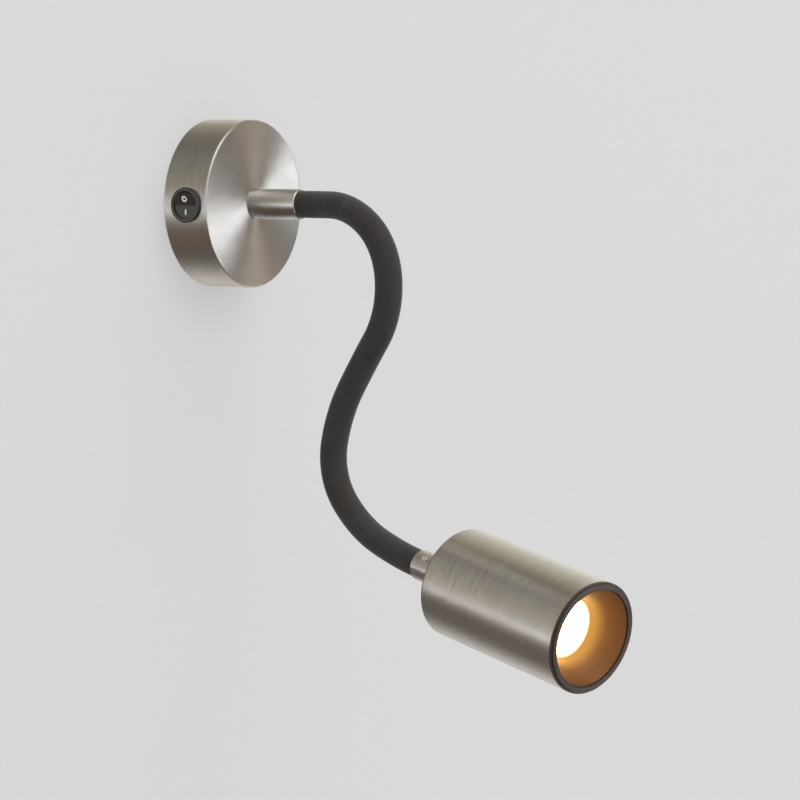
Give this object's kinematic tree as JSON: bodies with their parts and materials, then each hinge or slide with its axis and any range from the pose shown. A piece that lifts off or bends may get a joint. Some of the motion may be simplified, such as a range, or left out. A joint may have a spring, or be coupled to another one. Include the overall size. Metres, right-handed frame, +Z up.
{
  "type": "bedside wall reading lamp",
  "caption": "Bedside wall reading lamp with a round nickel canopy, a rocker switch in its rim, a woven bendable neck and a lit tube head.",
  "frame": {"origin": "middle of the wall plate's back face, on the wall", "axes": "-Y out of the wall, +Z up, and the rocker switch on the -X side"},
  "size_m": [0.1132, 0.2394, 0.2459],
  "materials": {
    "spun_nickel": "spun and brushed satin nickel, with radial fans of light on the face",
    "satin_nickel": "satin nickel, brushed round",
    "nickel_aluminium": "aluminium with a satin nickel finish, brushed round",
    "zinc_steel": "bright zinc plate",
    "black_steel": "black oxide",
    "black_plastic": "fine satin moulding",
    "white_mark": "white paint in the marks",
    "brass": "stamped and machined brass",
    "block_plastic": "natural moulding",
    "live_plastic": "smooth insulation",
    "neutral_plastic": "smooth insulation",
    "earth_plastic": "smooth insulation",
    "core_steel": "wound steel, bendable",
    "woven_charcoal": "tight charcoal weave",
    "cable_rubber": "smooth cable jacket",
    "ceramic": "glazed ceramic",
    "lamp_white": "white lamp housing",
    "pin_metal": "nickel-plated pins",
    "lens_lit": "frosted and lit warm white",
    "baffle_dark": "dark satin, lit from inside",
    "ring_dark": "dark satin moulding"
  },
  "bodies": {
    "base": {"canopy_cup": "spun_nickel", "mounting_plate": "zinc_steel", "canopy_screws": "black_steel", "switch_housing": "black_plastic", "switch_terminals": "brass", "terminal_block": "block_plastic", "terminal_screws": "brass", "earth_screw": "brass", "live_wires": "live_plastic", "neutral_wire": "neutral_plastic", "earth_wire": "earth_plastic", "wall_end_fitting": "zinc_steel", "wall_nut": "zinc_steel", "wall_washer": "zinc_steel", "wall_sleeve": "satin_nickel", "wall_sleeve_screw": "black_steel", "neck_core_0": "core_steel"},
    "rocker": {"switch_rocker": "black_plastic", "rocker_marks": "white_mark", "switch_plunger": "black_plastic", "switch_spring": "zinc_steel"},
    "contact_blade": {"switch_blade": "brass"},
    "neck_1": {"neck_core_1": "core_steel", "neck_sleeve_1": "woven_charcoal", "neck_cable_1": "cable_rubber"},
    "neck_2": {"neck_core_2": "core_steel", "neck_sleeve_2": "woven_charcoal", "neck_cable_2": "cable_rubber"},
    "neck_3": {"neck_core_3": "core_steel", "neck_sleeve_3": "woven_charcoal", "neck_cable_3": "cable_rubber"},
    "neck_4": {"neck_core_4": "core_steel", "neck_sleeve_4": "woven_charcoal", "neck_cable_4": "cable_rubber"},
    "neck_5": {"neck_core_5": "core_steel", "neck_sleeve_5": "woven_charcoal", "neck_cable_5": "cable_rubber"},
    "head": {"neck_core_6": "core_steel", "neck_sleeve_6": "woven_charcoal", "neck_cable_6": "cable_rubber", "head_end_fitting": "zinc_steel", "head_nut": "zinc_steel", "head_washer": "zinc_steel", "head_sleeve": "satin_nickel", "head_sleeve_screw": "black_steel", "head_housing": "nickel_aluminium", "holder_bracket": "zinc_steel", "holder_screws": "black_steel", "lampholder": "ceramic", "holder_contacts": "brass", "head_wires": "earth_plastic"},
    "lamp": {"lamp_body": "lamp_white", "lamp_pins": "pin_metal", "led_board": "lamp_white", "lamp_lens": "lens_lit"},
    "front_ring": {"front_ring": "ring_dark", "baffle": "baffle_dark"}
  },
  "joints": [
    {"name": "neck_bend_1", "type": "hinge", "parent": "base", "child": "neck_1", "pos_m": [-0.0025, -0.06827, 0], "axis": [0, 0, 1], "range_deg": [-25, 25], "deforming": ["neck_sleeve_1", "neck_cable_1"]},
    {"name": "neck_bend_2", "type": "hinge", "parent": "neck_1", "child": "neck_2", "pos_m": [-0.01002, -0.09452, -0.00914], "axis": [0.9613, -0.2756, 0], "range_deg": [-25, 25], "deforming": ["neck_sleeve_2", "neck_cable_2"]},
    {"name": "neck_bend_3", "type": "hinge", "parent": "neck_2", "child": "neck_3", "pos_m": [-0.0137, -0.10732, -0.03419], "axis": [-0.2753, -0.9599, 0.0523], "range_deg": [-25, 25], "deforming": ["neck_sleeve_3", "neck_cable_3"]},
    {"name": "neck_bend_4", "type": "hinge", "parent": "neck_3", "child": "neck_4", "pos_m": [-0.00651, -0.08228, -0.0851], "axis": [-0.9613, 0.2756, 0], "range_deg": [-25, 25], "deforming": ["neck_sleeve_4", "neck_cable_4"]},
    {"name": "neck_bend_5", "type": "hinge", "parent": "neck_4", "child": "neck_5", "pos_m": [-0.00526, -0.0779, -0.13889], "axis": [-0.2016, -0.703, 0.682], "range_deg": [-25, 25], "deforming": ["neck_sleeve_5", "neck_cable_5"]},
    {"name": "neck_bend_6", "type": "hinge", "parent": "neck_5", "child": "head", "pos_m": [-0.01193, -0.10117, -0.15491], "axis": [0.9613, -0.2756, 0], "range_deg": [-25, 25], "deforming": ["neck_sleeve_6", "neck_cable_6"]},
    {"name": "rocker_tilt", "type": "hinge", "parent": "base", "child": "rocker", "pos_m": [-0.0395, -0.0128, 0], "axis": [0, 1, 0], "range_deg": [0, 18]},
    {"name": "blade_tilt", "type": "hinge", "parent": "base", "child": "contact_blade", "pos_m": [-0.03119, -0.0128, 0], "axis": [0, 1, 0], "range_deg": [-14.4, 0]},
    {"name": "lamp_twist", "type": "hinge", "parent": "head", "child": "lamp", "pos_m": [-0.04144, -0.20407, -0.17638], "axis": [-0.2714, -0.9467, -0.1736], "range_deg": [-18, 0]},
    {"name": "ring_pull", "type": "slide", "parent": "head", "child": "front_ring", "axis": [-0.2714, -0.9467, -0.1736], "range_m": [0, 0.03]}
  ],
  "couplings": [
    {"joint": "blade_tilt", "follows": "rocker_tilt", "ratio": -0.8}
  ]
}
